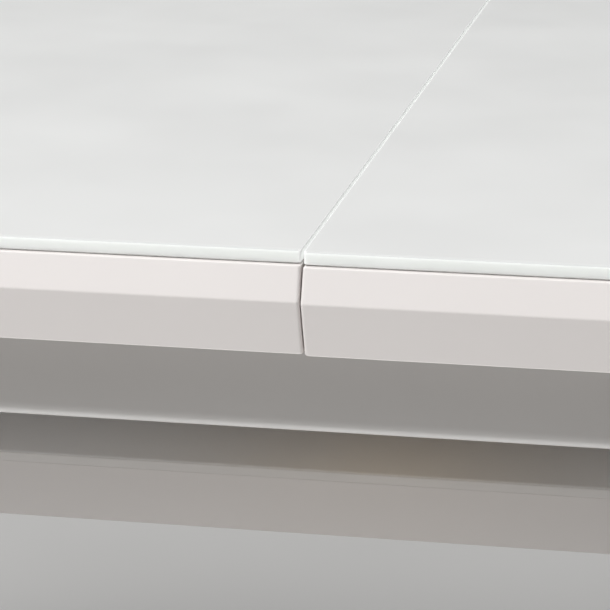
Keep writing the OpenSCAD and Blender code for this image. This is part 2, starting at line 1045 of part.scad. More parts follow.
module leaf_film() {
  reach_x = leaf_width / 2 - film_seam_inset;
  reach_y = half_depth - film_inset;
  color(film_white)
    stored()
      translate([-reach_x, -reach_y, board_top]) cube([2 * reach_x, 2 * reach_y, film_thickness]);
}

module leaf_dowels() {
  color(nylon) stored() dowels(leaf_half);
}

module leaf_sockets() {
  color(nylon) stored() sockets(-leaf_half, socket_length);
}

// Folded hanger under a side cross rail: top flange, web, ledge, and a tab that stops the leaf at the rear
module leaf_hanger() {
  color(steel) {
    along_y(-hanger_front, hanger_front + hanger_back + sheet)
      translate([hanger_x, 0])
        polygon([
          [0, rail_bottom],
          [0, hanger_ledge],
          [-hanger_reach, hanger_ledge],
          [-hanger_reach, hanger_ledge - sheet],
          [sheet, hanger_ledge - sheet],
          [sheet, rail_bottom - sheet],
          [hanger_flange, rail_bottom - sheet],
          [hanger_flange, rail_bottom]
        ]);
    box(
      [hanger_x - hanger_reach, hanger_back, hanger_ledge - sheet],
      [hanger_x, hanger_back + sheet, hanger_ledge + hanger_stop_height]
    );
  }
}

module leaf_hanger_right() {
  leaf_hanger();
}

module leaf_hanger_left() {
  mirror([1, 0, 0]) leaf_hanger();
}

module hanger_screws() {
  color(bright_steel)
    mirrored_x()
      for (y = hanger_screw_y)
        translate([hanger_x + hanger_screw_x, y, rail_bottom - sheet]) rotate([180, 0, 0]) pan_screw(22);
}

module hanger_felts() {
  color(felt)
    mirrored_x()
      box(
        [hanger_x - hanger_reach + 2, -hanger_front + 2, hanger_ledge],
        [hanger_x - hanger_reach + 26, hanger_back - 1, hanger_ledge + felt_thickness]
      );
}

front_apron();
rear_apron();
left_apron();
right_apron();
leg(-1, -1, 0);  // leg_front_left
leg(1, -1, 90);  // leg_front_right
leg(-1, 1, 270);  // leg_rear_left
leg(1, 1, 180);  // leg_rear_right
leg_glides();
corner_brackets();
leg_bolts();
leg_nuts();
cross_rail_left();
cross_rail_centre();
cross_rail_right();
rail_brackets();
bracket_screws();
channel_front();
channel_rear();
mechanism_screws();
channel_end_brackets();
channel_stops();
pinion_bracket();
pinion_axle();
pinion();
leaf_hanger_left();
leaf_hanger_right();
hanger_screws();
hanger_felts();
left_board();
left_glass();
left_film();
left_runner_front();
left_runner_rear();
left_sliders();
left_screws();
left_rack();
left_dowels();
latch_plates();
latch_pivots();
right_board();
right_glass();
right_film();
right_runner_front();
right_runner_rear();
right_sliders();
right_screws();
right_rack();
right_sockets();
latch_keepers();
latch_lever_front();
latch_lever_rear();
leaf_board();
leaf_glass();
leaf_film();
leaf_dowels();
leaf_sockets();
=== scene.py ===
import json
import math

import bmesh
import bpy
from mathutils import Matrix, Vector


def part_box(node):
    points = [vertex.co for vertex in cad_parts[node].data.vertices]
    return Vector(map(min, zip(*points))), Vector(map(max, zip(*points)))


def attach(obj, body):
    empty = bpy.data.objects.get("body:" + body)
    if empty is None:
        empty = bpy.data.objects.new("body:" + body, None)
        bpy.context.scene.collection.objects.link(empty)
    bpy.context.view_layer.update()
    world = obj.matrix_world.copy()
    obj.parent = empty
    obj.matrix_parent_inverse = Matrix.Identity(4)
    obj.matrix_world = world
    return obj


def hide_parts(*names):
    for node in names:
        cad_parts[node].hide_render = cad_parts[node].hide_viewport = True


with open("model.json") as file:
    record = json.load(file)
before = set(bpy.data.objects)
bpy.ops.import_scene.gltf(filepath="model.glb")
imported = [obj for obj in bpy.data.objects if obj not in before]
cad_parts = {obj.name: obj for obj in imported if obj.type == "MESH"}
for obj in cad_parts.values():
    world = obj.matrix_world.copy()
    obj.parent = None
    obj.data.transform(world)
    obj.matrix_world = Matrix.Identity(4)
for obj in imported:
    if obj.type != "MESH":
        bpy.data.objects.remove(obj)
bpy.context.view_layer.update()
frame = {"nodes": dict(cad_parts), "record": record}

# The scene is in metres.
MM = 0.001
HAIR = 0.01 * MM

# Steps round an arc, and angles in degrees above which an edge is bevelled or stays sharp.
ARC_STEPS = 8
BEVEL_ANGLE = 38
SHARP_ANGLE = 34

# The same scale along all three axes.
EVEN = (1, 1, 1)


# ---------------------------------------------------------------- materials

class Shader:
    """A node material around one Principled shader, with its coordinates in the piece's own space."""

    def __init__(self, name, color, roughness, metallic=0.0, specular=0.5):
        self.material = bpy.data.materials.new(name)
        self.material.use_nodes = True
        self.tree = self.material.node_tree
        self.base = self.tree.nodes["Principled BSDF"]
        self.base.inputs["Base Color"].default_value = (*color, 1.0)
        self.base.inputs["Roughness"].default_value = roughness
        self.base.inputs["Metallic"].default_value = metallic
        self.base.inputs["Specular IOR Level"].default_value = specular
        self.coords = self.add("ShaderNodeTexCoord").outputs["Object"]
        self.color = color

    def add(self, kind, **values):
        """A new node, with some of its settings."""
        node = self.tree.nodes.new(kind)
        for key, value in values.items():
            setattr(node, key, value)
        return node

    def link(self, source, target):
        """Joins an output to an input."""
        self.tree.links.new(source, target)

    def texture(self, kind, per_metre, stretch):
        """A pattern with so many features to the metre, stretched along the axes."""
        mapping = self.add("ShaderNodeMapping")
        mapping.inputs["Scale"].default_value = [per_metre * share for share in stretch]
        self.link(self.coords, mapping.inputs["Vector"])
        pattern = self.add(kind)
        pattern.inputs["Scale"].default_value = 1.0
        self.link(mapping.outputs["Vector"], pattern.inputs["Vector"])
        return pattern

    def noise(self, per_metre, detail, stretch=EVEN, roughness=0.5):
        """Cloudy noise."""
        pattern = self.texture("ShaderNodeTexNoise", per_metre, stretch)
        pattern.inputs["Detail"].default_value = detail
        pattern.inputs["Roughness"].default_value = roughness
        return pattern.outputs["Fac"]

    def cells(self, per_metre):
        """Round cells, dark in their middles."""
        return self.texture("ShaderNodeTexVoronoi", per_metre, EVEN).outputs["Distance"]

    def spread(self, source, low, high, start=0.3, end=0.7):
        """Maps a pattern's values from start to end onto low to high."""
        ranged = self.add("ShaderNodeMapRange")
        ranged.inputs["From Min"].default_value = start
        ranged.inputs["From Max"].default_value = end
        ranged.inputs["To Min"].default_value = low
        ranged.inputs["To Max"].default_value = high
        self.link(source, ranged.inputs["Value"])
        return ranged.outputs["Result"]

    def vary_color(self, source, other, start=0.35, end=0.65):
        """Mixes the base colour with another one, by a pattern."""
        mix = self.add("ShaderNodeMix", data_type="RGBA")
        mix.inputs["A"].default_value = (*self.color, 1.0)
        mix.inputs["B"].default_value = (*other, 1.0)
        self.link(self.spread(source, 0.0, 1.0, start, end), mix.inputs["Factor"])
        previous = self.base.inputs["Base Color"]
        if previous.is_linked:
            self.link(previous.links[0].from_socket, mix.inputs["A"])
        self.link(mix.outputs["Result"], previous)

    def vary_roughness(self, source, low, high):
        """Lets the roughness follow a pattern."""
        self.link(self.spread(source, low, high), self.base.inputs["Roughness"])

    def bump(self, source, height, strength):
        """Adds relief that follows a pattern."""
        bump = self.add("ShaderNodeBump")
        bump.inputs["Distance"].default_value = height
        bump.inputs["Strength"].default_value = strength
        self.link(source, bump.inputs["Height"])
        previous = self.base.inputs["Normal"]
        if previous.is_linked:
            self.link(previous.links[0].from_socket, bump.inputs["Normal"])
        self.link(bump.outputs["Normal"], previous)


def scaled(color, factor):
    """A colour made darker by a factor."""
    return tuple(c * factor for c in color)


def lacquer(name, color):
    """Satin sprayed lacquer: a faint orange peel, slow changes of tone and a few dull patches."""
    s = Shader(name, color, 0.38, specular=0.3)
    s.vary_color(s.noise(9, 2), scaled(color, 0.985))
    s.vary_roughness(s.noise(26, 3), 0.33, 0.42)
    s.bump(s.noise(420, 2), 0.03 * MM, 0.5)
    s.bump(s.noise(60, 1), 0.05 * MM, 0.25)
    s.base.inputs["Coat Weight"].default_value = 0.08
    s.base.inputs["Coat Roughness"].default_value = 0.3
    return s.material


def satin_glass(name, color):
    """Etched white glass: even and soft, with a very fine grain in its gloss."""
    s = Shader(name, color, 0.42, specular=0.3)
    s.vary_color(s.noise(4, 2), scaled(color, 0.992))
    s.vary_roughness(s.noise(14, 4), 0.36, 0.46)
    s.bump(s.noise(1800, 2), 0.004 * MM, 0.4)
    return s.material


def glass_edge(name, color, scatter, painted_glow):
    """Ground glass edge with faint grinding lines along it, and a painted glow: emission standing in for
    light carried through the sheet.
    """
    s = Shader(name, color, 0.5, specular=0.08)
    s.vary_color(s.noise(30, 2, (1, 1, 8)), scaled(color, 0.975))
    s.vary_roughness(s.noise(300, 3, (0.1, 0.1, 6)), 0.45, 0.58)
    s.bump(s.noise(900, 2, (0.05, 0.05, 2)), 0.006 * MM, 0.35)
    s.base.inputs["Subsurface Weight"].default_value = scatter
    s.base.inputs["Subsurface Radius"].default_value = (1.0, 1.0, 1.0)
    s.base.inputs["Subsurface Scale"].default_value = 3 * MM
    s.base.inputs["Emission Color"].default_value = (*color, 1.0)
    # Painted glow: the edge emits light in its own colour, though it is no lamp.
    s.base.inputs["Emission Strength"].default_value = painted_glow
    return s.material


def zinc(name, color):
    """Zinc-plated pressed steel: cloudy, with fine rolling marks."""
    s = Shader(name, color, 0.38, metallic=1.0)
    s.vary_color(s.noise(90, 5), scaled(color, 0.78))
    s.vary_roughness(s.noise(160, 4), 0.28, 0.5)
    s.bump(s.noise(700, 3, (0.06, 1, 1)), 0.02 * MM, 0.4)
    return s.material


def bright_metal(name, color):
    """Bright fasteners: turned rings too fine to count, and small dull spots."""
    s = Shader(name, color, 0.25, metallic=1.0)
    s.vary_color(s.noise(500, 3), scaled(color, 0.85))
    s.vary_roughness(s.noise(900, 3), 0.18, 0.36)
    s.bump(s.noise(2500, 2), 0.008 * MM, 0.4)
    return s.material


def extruded(name, color):
    """Extruded aluminium: die lines along X."""
    s = Shader(name, color, 0.35, metallic=1.0)
    s.vary_color(s.noise(500, 2, (0.01, 1, 1)), scaled(color, 0.86))
    s.vary_roughness(s.noise(900, 3, (0.01, 1, 1)), 0.25, 0.45)
    s.bump(s.noise(1500, 2, (0.005, 1, 1)), 0.02 * MM, 0.5)
    return s.material


def beech(name, color):
    """Planed beech: soft bands along Y, with short dark flecks."""
    s = Shader(name, color, 0.6)
    s.vary_color(s.noise(60, 4, (1, 0.05, 1)), scaled(color, 0.8))
    s.vary_color(s.noise(700, 2, (1, 0.06, 1)), scaled(color, 0.72), 0.62, 0.7)
    s.vary_roughness(s.noise(300, 3, (1, 0.1, 1)), 0.52, 0.7)
    s.bump(s.noise(600, 3, (1, 0.04, 1)), 0.08 * MM, 0.5)
    return s.material


def plastic(name, color, roughness, grain):
    """Moulded plastic: a spark-eroded grain and slow changes of gloss."""
    s = Shader(name, color, roughness)
    s.vary_color(s.noise(120, 2), scaled(color, 0.93))
    s.vary_roughness(s.noise(220, 3), roughness - 0.07, roughness + 0.08)
    s.bump(s.cells(grain), 0.04 * MM, 0.45)
    return s.material


def felt(name, color):
    """Pressed felt: tangled fibres."""
    s = Shader(name, color, 0.95, specular=0.2)
    s.vary_color(s.noise(900, 4), scaled(color, 0.6))
    s.vary_roughness(s.noise(700, 3), 0.85, 1.0)
    s.bump(s.noise(1600, 5, roughness=0.7), 0.4 * MM, 0.8)
    s.base.inputs["Sheen Weight"].default_value = 0.3
    return s.material


def film(name, color):
    """Bonding film: dull, with small bubbles."""
    s = Shader(name, color, 0.6)
    s.vary_color(s.cells(300), scaled(color, 0.8), 0.1, 0.5)
    s.vary_roughness(s.noise(200, 2), 0.5, 0.7)
    s.bump(s.cells(500), 0.03 * MM, 0.4)
    return s.material


# The function that makes each material, and its values.
LOOKS = {
    "white_lacquer": (lacquer, (0.899, 0.857, 0.839)),
    # Painted shade: the white lacquer made darker for the leaf, which lies in the shade under the top.
    "leaf_lacquer": (lacquer, (0.73, 0.7, 0.68)),
    # Painted shade: the white lacquer made darker for the aprons and legs, which stand in the shade under
    # the top.
    "frame_lacquer": (lacquer, (0.559, 0.547, 0.533)),
    "white_glass": (satin_glass, (0.875, 0.88, 0.87)),
    # Glass edge with a painted glow (emission 0.11) standing in for light carried through the sheet.
    "glass_edge": (glass_edge, (0.88, 0.905, 0.88), 1.0, 0.11),
    # Painted light: a brighter seam edge with a stronger painted glow, so the gap between the sheets looks
    # lit.
    "seam_edge": (glass_edge, (0.9, 0.91, 0.9), 0.0, 0.2),
    # Painted shade: a darker, duller copy of the glass on the upper arrises, which damps their highlight.
    "glass_arris": (glass_edge, (0.775, 0.785, 0.775), 0.0, 0.0),
    # Painted shade: the leaf's glass edge made darker, for the shade under the top.
    "leaf_glass_edge": (glass_edge, (0.74, 0.72, 0.7), 0.0, 0.0),
    "bonding_film": (film, (0.8, 0.79, 0.78)),
    "zinc_steel": (zinc, (0.62, 0.63, 0.65)),
    "bright_steel": (bright_metal, (0.72, 0.73, 0.75)),
    "runner_alloy": (extruded, (0.77, 0.78, 0.79)),
    "beech": (beech, (0.72, 0.56, 0.38)),
    "nylon": (plastic, (0.82, 0.81, 0.75), 0.4, 900),
    "black_plastic": (plastic, (0.035, 0.035, 0.038), 0.5, 1400),
    "rubber": (plastic, (0.03, 0.03, 0.03), 0.75, 1100),
    "felt": (felt, (0.3, 0.3, 0.31)),
}
MATERIALS = {name: make(name, *values) for name, (make, *values) in LOOKS.items()}

SLOT_OF = {part["node"]: part["material_slot"] for part in frame["record"]["subparts"]}
BODY_OF = {
    node: body
    for body, nodes in frame["record"]["behaviour"]["bodies"].items()
    for node in nodes
}
APRONS = ("front_apron", "rear_apron", "left_apron", "right_apron")
LEGS = ("leg_front_left", "leg_front_right", "leg_rear_left", "leg_rear_right")


def material_of(node):
    """The look of a node: its slot's, or the white lacquer darkened with painted shade on the leaf, the
    aprons and the legs.
    """
    if node == "leaf_board":
        return MATERIALS["leaf_lacquer"]
    if node in APRONS + LEGS:
        return MATERIALS["frame_lacquer"]
    return MATERIALS[SLOT_OF[node]]


# ---------------------------------------------------------------- mesh helpers

def smooth(piece, angle):
    """Rounds the shading, keeps edges sharper than the angle, and evens the normals of large faces."""
    for face in piece.data.polygons:
        face.use_smooth = True
    piece.data.set_sharp_from_angle(angle=math.radians(angle))
    modifier = piece.modifiers.new("even normals", "WEIGHTED_NORMAL")
    modifier.keep_sharp = True
    modifier.weight = 100
    apply_modifiers(piece)


def finish_piece(mesh, name, node, angle=SHARP_ANGLE, materials=None):
    """Makes a piece that stands for one CAD node from a finished bmesh."""
    bmesh.ops.recalc_face_normals(mesh, faces=mesh.faces)
    piece = loose_object(mesh, name)
    for material in materials or [material_of(node)]:
        piece.data.materials.append(material)
    smooth(piece, angle)
    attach(piece, BODY_OF[node])
    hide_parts(node)
    return piece


def loose_object(mesh, name):
    """An object made from a bmesh, which it uses up."""
    data = bpy.data.meshes.new(name)
    mesh.to_mesh(data)
    mesh.free()
    made = bpy.data.objects.new(name, data)
    bpy.context.scene.collection.objects.link(made)
    return made


def solid_object(mesh, name):
    """An object made from a closed bmesh, its faces turned outwards."""
    bmesh.ops.recalc_face_normals(mesh, faces=mesh.faces)
    return loose_object(mesh, name)


def reopened(made):
    """Turns a loose object back into a bmesh."""
    mesh = bmesh.new()
    mesh.from_mesh(made.data)
    bpy.data.objects.remove(made)
    return mesh


def apply_modifiers(piece):
    """Replaces a piece's mesh by the one that its modifiers give."""
    bpy.context.view_layer.update()
    graph = bpy.context.evaluated_depsgraph_get()
    data = bpy.data.meshes.new_from_object(piece.evaluated_get(graph))
    piece.modifiers.clear()
    piece.data = data


def shape_of(node):
    """The lowest and highest corner of a node's box."""
    low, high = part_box(node)
    return Vector(low), Vector(high)


def node_mesh(node):
    """A welded copy of a CAD node's mesh, its flat faces whole again."""
    mesh = bmesh.new()
    mesh.from_mesh(frame["nodes"][node].data)
    bmesh.ops.remove_doubles(mesh, verts=mesh.verts, dist=0.1 * HAIR)
    bmesh.ops.dissolve_limit(mesh, angle_limit=math.radians(1.0), verts=mesh.verts, edges=mesh.edges)
    return mesh


def softened(node, radius, segments, extra=None):
    """A piece with a CAD node's shape, its sharp edges rounded a little."""
    copy = loose_object(node_mesh(node), node + "_copy")
    bevel = copy.modifiers.new("rounded edges", "BEVEL")
    bevel.width = radius
    bevel.segments = segments
    bevel.limit_method = "ANGLE"
    bevel.angle_limit = math.radians(BEVEL_ANGLE)
    bevel.use_clamp_overlap = True
    apply_modifiers(copy)
    mesh = reopened(copy)
    if extra:
        extra(mesh)
    finish_piece(mesh, node + "_piece", node, angle=40)


def solids(node):
    """The vertex places of each separate solid in a CAD node."""
    mesh = node_mesh(node)
    found = []
    left = set(mesh.verts)
    while left:
        group = {left.pop()}
        front = list(group)
        while front:
            vert = front.pop()
            for edge in vert.link_edges:
                other = edge.other_vert(vert)
                if other not in group:
                    group.add(other)
                    front.append(other)
        left -= group
        found.append([v.co.copy() for v in group])
    mesh.free()
    return sorted(found, key=lambda places: tuple(round(c, 4) for c in corners(places)[0]))


def corners(places):
    """The lowest and highest corner of the box round some places."""
    low = Vector([min(p[i] for p in places) for i in range(3)])
    high = Vector([max(p[i] for p in places) for i in range(3)])
    return low, high


def fillet(before, corner, after, radius, steps):
    """Points that round one corner of an outline with an arc."""
    u = (before - corner).normalized()
    w = (after - corner).normalized()
    half = u.angle(w) / 2
    centre = corner + (u + w).normalized() * radius / math.sin(half)
    start = (corner + u * radius / math.tan(half) - centre).normalized()
    finish = (corner + w * radius / math.tan(half) - centre).normalized()
    sweep = math.pi - 2 * half
    points = []
    for i in range(steps + 1):
        t = i / steps
        direction = (start * math.sin(sweep * (1 - t)) + finish * math.sin(sweep * t)) / math.sin(sweep)
        points.append(centre + direction * radius)
    return points


def rounded(points, radii, steps=ARC_STEPS, closed=True):
    """An outline with its corners rounded; radius 0 leaves a corner sharp."""
    result = []
    count = len(points)
    for i, (point, radius) in enumerate(zip(points, radii)):
        ends = not closed and i in (0, count - 1)
        if radius == 0 or ends:
            result.append(point)
        else:
            result.extend(fillet(points[i - 1], point, points[(i + 1) % count], radius, steps))
    return result


def join_rings(mesh, low, high):
    """Faces between two rings of equal length, or between a ring and a single point."""
    count = max(len(low), len(high))
    for i in range(count):
        j = (i + 1) % count
        face_corners = []
        for ring, index in ((low, i), (low, j), (high, j), (high, i)):
            vert = ring[index % len(ring)]
            if vert not in face_corners:
                face_corners.append(vert)
        mesh.faces.new(face_corners)


def skin_rings(mesh, rings):
    """Joins rings of points into a closed shape, with a flat cap where an end isn't a single point."""
    loops = [[mesh.verts.new(point) for point in ring] for ring in rings]
    for low, high in zip(loops, loops[1:]):
        join_rings(mesh, low, high)
    for cap in (loops[0], list(reversed(loops[-1]))):
        if len(cap) > 2:
            mesh.faces.new(cap)


def skin_loop(mesh, rings):
    """Joins rings of points into a tube that closes on itself, such as a washer or a nut."""
    loops = [[mesh.verts.new(point) for point in ring] for ring in rings]
    for low, high in zip(loops, loops[1:] + loops[:1]):
        join_rings(mesh, low, high)


def turned_rings(profile, place, segments):
    """A ring round the Z axis of a place for each (radius, height), a single point where the radius is 0."""
    rings = []
    for radius, height in profile:
        count = segments if radius > 0 else 1
        turns = [math.tau * i / segments for i in range(count)]
        rings.append([place @ Vector((radius * math.cos(t), radius * math.sin(t), height)) for t in turns])
    return rings


def lathe(mesh, profile, place, segments):
    """Turns (radius, height) points round the Z axis of a place, with flat ends."""
    skin_rings(mesh, turned_rings(profile, place, segments))


def extruded_outline(mesh, outline, along, start, end):
    """A bar with a constant section: (across, height) points, along "x" or "y"."""
    rings = []
    for station in (start, end):
        if along == "x":
            rings.append([Vector((station, p.x, p.y)) for p in outline])
        else:
            rings.append([Vector((p.x, station, p.y)) for p in outline])
    skin_rings(mesh, rings)


def folded(path, thickness, bend):
    """Outline of a folded sheet: a centre line of points with rounded bends, and a thickness."""
    line = rounded(path, [bend] * len(path), steps=6, closed=False)
    sides = ([], [])
    for i, point in enumerate(line):
        before = line[max(i - 1, 0)]
        after = line[min(i + 1, len(line) - 1)]
        run = (after - before).normalized()
        across = Vector((-run.y, run.x)) * thickness / 2
        sides[0].append(point + across)
        sides[1].append(point - across)
    return sides[0] + list(reversed(sides[1]))


def rectangle(x0, x1, y0, y1):
    """The four corners of a rectangle."""
    return [Vector((x0, y0)), Vector((x1, y0)), Vector((x1, y1)), Vector((x0, y1))]


def plan(low, high, insets, radii, steps):
    """Rectangle seen from above, inset on its -X, +X and Y sides, its -X and +X corners rounded."""
    points = rectangle(
        low.x + insets[0],
        high.x - insets[1],
        low.y + insets[2],
        high.y - insets[2],
    )
    return rounded(points, [radii[0], radii[1], radii[1], radii[0]], steps)


def ring_at(outline, height):
    """An outline seen from above, put at a height."""
    return [Vector((p.x, p.y, height)) for p in outline]


def rounded_box(mesh, low, high, radius, steps=4):
    """A box whose vertical corners and whose top and bottom edges are rounded."""
    rings = []
    turns = [math.pi / 2 * i / steps for i in range(steps + 1)]
    stations = [(radius * (1 - math.sin(t)), low.z + radius * (1 - math.cos(t))) for t in turns]
    stations += [(radius * (1 - math.cos(t)), high.z - radius * (1 - math.sin(t))) for t in turns]
    for inset, height in stations:
        corner = max(radius - inset, 5 * HAIR)
        rings.append(ring_at(plan(low, high, [inset] * 3, [corner] * 2, steps), height))
    skin_rings(mesh, rings)


def cut(piece, cutters):
    """Cuts closed meshes out of a piece."""
    for cutter in cutters:
        modifier = piece.modifiers.new("cut", "BOOLEAN")
        modifier.operation = "DIFFERENCE"
        modifier.solver = "EXACT"
        modifier.object = cutter
        apply_modifiers(piece)
        bpy.data.objects.remove(cutter)


def place_at(point, direction):
    """A matrix that puts the origin at a point, with +Z along a direction."""
    turn = Vector(direction).to_track_quat("Z", "Y").to_matrix().to_4x4()
    return Matrix.Translation(point) @ turn


# ---------------------------------------------------------------- the top

UPPER_FACET = 13.3 * MM
UPPER_RUN = 4.4 * MM
LOWER_RUN = 8.6 * MM
PANEL = 26 * MM
BAND = 60 * MM
ROUTER_RADIUS = 10 * MM
PIN_Y = 280 * MM
PIN_DEPTH = 13 * MM
PIN_HOLE = (4 * MM, 15 * MM)
SOCKET_HOLE = (7 * MM, 18 * MM)

# How far the level faces reach in from an outer edge and from the seam.
BOARD_FLAT = 12 * MM
GLASS_FLAT = 14 * MM
SEAM_FLAT = 4 * MM

# Roundings along the outer edges, from the top face down.
BOARD_EDGE_RADII = (0, 0.8 * MM, 1.6 * MM, 1.2 * MM, 0)
GLASS_EDGE_RADII = (0, 1.1 * MM, 0.3 * MM, 0)

# Roundings along the seam edges, at the top and at the bottom.
BOARD_ARRISES = (1.1 * MM, 1.1 * MM)
GLASS_ARRISES = (0.5 * MM, 0.5 * MM)
LEAF_ARRISES = (0.05 * MM, 1.1 * MM)
LEAF_GLASS_ARRISES = (1.5 * MM, 0.04 * MM)

# Corners seen from above.
BOARD_CORNERS = {"outer": 12 * MM, "seam": 1.3 * MM}
GLASS_CORNERS = {"outer": 8 * MM, "seam": 1 * MM}
FILM_CORNER = 6 * MM
LEAST_CORNER = 0.8 * MM
CORNER_STEPS = 6
HOLE_STEPS = 40

FILM_GROOVE = 0.3 * MM
LEAF_FILM_PAST_ENDS = 0.25 * MM
LEAF_FILM_PAST_SEAMS = 0.7 * MM
LEAF_GLASS_PAST_SEAMS = 0.4 * MM

# Parts of a unit normal, by which the faces round a glass sheet are told apart.
UPRIGHT = 0.6
LEVEL = 0.98
TOWARDS_SEAM = 0.3


def rings_of(low, high, section, seam_sides, corner):
    """Rings round a sheet or board, one for each (inset at an outer edge, inset at a seam edge, height)."""
    rings = []
    for outer, seam, height in section:
        insets = [seam if seam_sides[0] else outer, seam if seam_sides[1] else outer, outer]
        outer_corner = max(corner["outer"] - outer, LEAST_CORNER)
        radii = [corner["seam"] if is_seam else outer_corner for is_seam in seam_sides]
        rings.append(ring_at(plan(low, high, insets, radii, CORNER_STEPS), height))
    return rings


def seam_inset(height, top, bottom, arrises):
    """How far a straight seam edge stands back at a height, for its rounded top and bottom arrises."""
    radius = arrises[0] if top - height < height - bottom else arrises[1]
    depth = min(top - height, height - bottom)
    if depth >= radius:
        return 0.0
    reach = radius - max(depth, 0.0)
    return radius - math.sqrt(max(radius * radius - reach * reach, 0.0))


def board_rings(low, high, seam_sides, arrises):
    """Rings round a board with a V-shaped edge, from its top face to its underside."""
    points = [
        Vector((UPPER_RUN + BOARD_FLAT, high.z)),
        Vector((UPPER_RUN, high.z)),
        Vector((0, high.z - UPPER_FACET)),
        Vector((LOWER_RUN, low.z)),
        Vector((LOWER_RUN + BOARD_FLAT, low.z)),
    ]
    past_arris = UPPER_RUN + BOARD_ARRISES[0]
    section = []
    for point in rounded(points, BOARD_EDGE_RADII, closed=False):
        is_level = min(high.z - point.y, point.y - low.z) < HAIR
        if is_level and point.x > past_arris:
            seam = SEAM_FLAT
        else:
            seam = seam_inset(point.y, high.z, low.z, arrises)
        section.append((point.x, seam, point.y))
    return rings_of(low, high, section, seam_sides, BOARD_CORNERS)


def glass_rings(low, high, seam_sides, arrises):
    """Rings round a glass sheet, from its top face to its underside."""
    points = [
        Vector((GLASS_FLAT, high.z)),
        Vector((0, high.z)),
        Vector((0, low.z)),
        Vector((GLASS_FLAT, low.z)),
    ]
    section = []
    for point in rounded(points, GLASS_EDGE_RADII, closed=False):
        seam = SEAM_FLAT if point.x > SEAM_FLAT else seam_inset(point.y, high.z, low.z, arrises)
        section.append((point.x, seam, point.y))
    return rings_of(low, high, section, seam_sides, GLASS_CORNERS)


def board_cutters(low, high, seam_sides, holes):
    """The routed recess under a board, open at its seam edges, and the holes in those edges."""
    past = 40 * MM
    below = 5 * MM
    recess_low = Vector((low.x + (-past if seam_sides[0] else BAND), low.y + BAND, low.z - below))
    recess_high = Vector((high.x - (-past if seam_sides[1] else BAND), high.y - BAND, high.z - PANEL))
    outline = plan(recess_low, recess_high, [0, 0, 0], [ROUTER_RADIUS] * 2, CORNER_STEPS)
    mesh = bmesh.new()
    skin_rings(mesh, [ring_at(outline, recess_low.z), ring_at(outline, recess_high.z)])
    cutters = [solid_object(mesh, "recess")]
    for side, (radius, depth) in holes.items():
        edge = low.x if side < 0 else high.x
        for y in (-PIN_Y, PIN_Y):
            centre = Vector((edge, y, high.z - PIN_DEPTH))
            mesh = bmesh.new()
            lathe(mesh, [(radius, -depth), (radius, depth)], place_at(centre, (side, 0, 0)), HOLE_STEPS)
            cutters.append(solid_object(mesh, "hole"))
    return cutters


def build_board(node, name, low, high, seam_sides, holes, arrises, turn=None):
    """One board of the top with its V-shaped edge, its rounded arrises and the recess under it."""
    mesh = bmesh.new()
    skin_rings(mesh, board_rings(low, high, seam_sides, arrises))
    blank = solid_object(mesh, name + "_blank")
    cut(blank, board_cutters(low, high, seam_sides, holes))
    mesh = reopened(blank)
    if turn:
        bmesh.ops.transform(mesh, matrix=turn, verts=mesh.verts)
    finish_piece(mesh, name, node)


def build_glass(node, name, low, high, seam_sides, arrises, looks, turn=None):
    """One sheet of white glass with a ground, rounded edge."""
    mesh = bmesh.new()
    skin_rings(mesh, glass_rings(low, high, seam_sides, arrises))
    if turn:
        bmesh.ops.transform(mesh, matrix=turn, verts=mesh.verts)
    return finish_piece(mesh, name, node, angle=50, materials=[MATERIALS[look] for look in looks])


def build_films():
    """Bonding film that fills each joint, with a fine groove left along its lower edge under the two halves
    of the top, and none under the leaf.
    """
    for part in ("left", "right", "leaf"):
        node = part + "_film"
        low, high = shape_of(node)
        if part == "leaf":
            groove = 0
            past_ends = LEAF_FILM_PAST_ENDS
            past_seams = LEAF_FILM_PAST_SEAMS
            # Painted shade: the leaf's film takes the leaf's darkened lacquer.
            looks = MATERIALS["leaf_lacquer"]
        else:
            groove = FILM_GROOVE
            past_ends = 0
            past_seams = 0
            looks = material_of(node)
        rings = []
        for inset, height in (
            (2 * groove, low.z + HAIR),
            (2 * groove, low.z + groove + HAIR),
            (0, low.z + groove + 2 * HAIR),
            (0, high.z - HAIR),
        ):
            insets = [inset - past_ends, inset - past_ends, inset - past_seams]
            rings.append(ring_at(plan(low, high, insets, [FILM_CORNER] * 2, CORNER_STEPS), height))
        mesh = bmesh.new()
        skin_rings(mesh, rings)
        finish_piece(mesh, node + "_sheet", node, angle=60, materials=[looks])


def build_top():
    """The two halves of the top, each a board and a glass sheet."""
    for side in ("left", "right"):
        seam_sides = (side == "right", side == "left")
        holes = {1: PIN_HOLE} if side == "left" else {-1: SOCKET_HOLE}
        node = side + "_board"
        build_board(node, side + "_top_board", *shape_of(node), seam_sides, holes, BOARD_ARRISES)
        node = side + "_glass"
        looks = ("white_glass", "glass_edge", "seam_edge", "glass_arris")
        sheet = build_glass(node, node + "_sheet", *shape_of(node), seam_sides, GLASS_ARRISES, looks)
        for face in sheet.data.polygons:
            at_seam = abs(face.center.x) < SEAM_FLAT
            # Seam faces: painted light in the gap, from the brighter, glowing seam edge.
            if at_seam and abs(face.normal.x) > TOWARDS_SEAM:
                face.material_index = looks.index("seam_edge")
            # Upper arris faces: painted shade that damps their highlight.
            elif not at_seam and UPRIGHT <= face.normal.z < LEVEL:
                face.material_index = looks.index("glass_arris")
            # Other upright faces: the glass edge with its painted glow.
            elif abs(face.normal.z) < UPRIGHT:
                face.material_index = looks.index("glass_edge")


